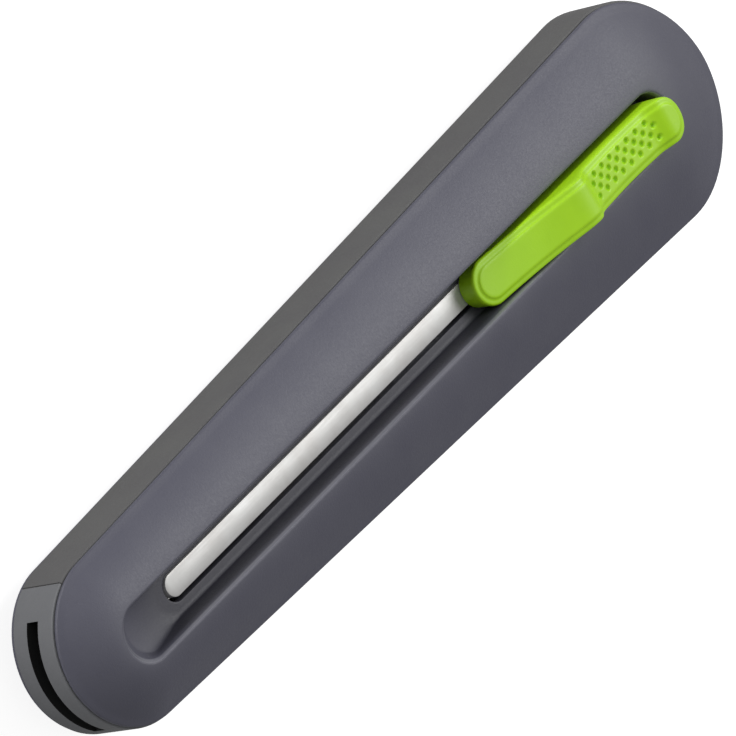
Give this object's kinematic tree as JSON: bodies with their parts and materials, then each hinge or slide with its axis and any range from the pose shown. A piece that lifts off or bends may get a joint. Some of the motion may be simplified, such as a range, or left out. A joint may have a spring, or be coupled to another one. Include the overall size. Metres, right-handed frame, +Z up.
{
  "type": "utility knife",
  "caption": "Tapered utility knife: crowned covers on a centre band, a thumb slider in a long recess, and a sprung blade that draws back through a slot in the nose.",
  "frame": {"origin": "centre of the knife's footprint, on the flat of the rear cover that it lies on", "axes": "+X to the nose, the way the blade comes out; +Z up out of the face with the slider; +Y to the knife's left seen from behind"},
  "size_m": [0.165, 0.0364, 0.0219],
  "materials": {
    "cover_nylon": "moulded glass-filled nylon, fine matte texture, slate grey",
    "band_nylon": "moulded glass-filled nylon, slightly darker and more neutral than the covers",
    "slider_green": "moulded ABS, lime green, satin",
    "rail_metal": "pale satin anodised strip",
    "fastener_steel": "zinc plated",
    "clamp_steel": "pressed stainless plate",
    "spring_steel": "drawn spring wire",
    "acetal": "natural acetal",
    "carrier_plastic": "moulded nylon, dark grey",
    "blade_ceramic": "sintered zirconia, ground edge, rounded tips",
    "bumper_rubber": "soft moulded rubber"
  },
  "bodies": {
    "body": {"front_cover": "cover_nylon", "rear_cover": "cover_nylon", "centre_frame": "band_nylon", "nose_piece": "band_nylon", "guide_rail": "rail_metal", "rail_rivet_front": "fastener_steel", "rail_rivet_rear": "fastener_steel", "cover_screw_mid_left": "fastener_steel", "cover_screw_mid_right": "fastener_steel", "cover_screw_rear_left": "fastener_steel", "cover_screw_rear_right": "fastener_steel", "nose_screw": "fastener_steel", "left_runner": "acetal", "right_runner": "acetal", "front_bumper_left": "bumper_rubber", "front_bumper_right": "bumper_rubber", "rear_bumper_left": "bumper_rubber", "rear_bumper_right": "bumper_rubber", "spring_post": "fastener_steel", "return_spring": "spring_steel"},
    "carriage": {"slider_button": "slider_green", "blade_carrier": "carrier_plastic", "blade_clamp": "clamp_steel", "clamp_screw_left": "fastener_steel", "clamp_screw_right": "fastener_steel", "blade": "blade_ceramic", "blade_peg_front": "fastener_steel", "blade_peg_rear": "fastener_steel", "spring_hook": "fastener_steel"}
  },
  "joints": [
    {"name": "blade_slide", "type": "slide", "parent": "body", "child": "carriage", "axis": [1, 0, 0], "range_m": [0, 0.07], "stiffness_N_per_m": 60, "springref_m": -0.03, "deforming": ["return_spring"]}
  ]
}
